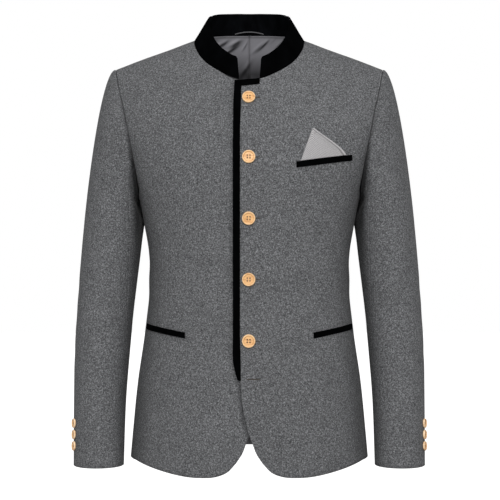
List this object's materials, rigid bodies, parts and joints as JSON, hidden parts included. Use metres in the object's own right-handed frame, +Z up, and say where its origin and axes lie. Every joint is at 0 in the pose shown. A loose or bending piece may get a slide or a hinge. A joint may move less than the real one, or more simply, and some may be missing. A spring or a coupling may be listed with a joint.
{
  "type": "band-collar blazer",
  "caption": "Grey wool blazer with a black velvet band collar, front strip and pocket welts, five wooden front buttons and three on each cuff, hollow as if worn.",
  "frame": {"origin": "midway between the two points where the shoulder seams meet the neck, where the wearer's shoulders hold the garment", "axes": "+X towards the wearer's left, -Y the front, +Z up"},
  "size_m": [0.576, 0.2725, 0.7538],
  "materials": {
    "wool": "matte heathered flannel",
    "velvet": "short-pile velvet",
    "satin_lining": "soft satin",
    "pocket_twill": "matte twill",
    "button_wood": "satin varnish"
  },
  "bodies": {
    "root": {"front_left": "wool", "front_right": "wool", "side_left": "wool", "side_right": "wool", "back_left": "wool", "back_right": "wool", "sleeve_top_left": "wool", "sleeve_top_right": "wool", "sleeve_under_left": "wool", "sleeve_under_right": "wool", "collar": "velvet", "front_strip": "velvet", "lap_trim": "velvet", "chest_welt": "velvet", "hip_welt_left": "velvet", "hip_welt_right": "velvet", "pocket_square": "pocket_twill", "lining_left": "satin_lining", "lining_right": "satin_lining", "hanger_loop": "satin_lining", "front_button_1": "button_wood", "front_button_2": "button_wood", "front_button_3": "button_wood", "front_button_4": "button_wood", "front_button_5": "button_wood", "cuff_button_left_1": "button_wood", "cuff_button_left_2": "button_wood", "cuff_button_left_3": "button_wood", "cuff_button_right_1": "button_wood", "cuff_button_right_2": "button_wood", "cuff_button_right_3": "button_wood"}
  },
  "joints": []
}
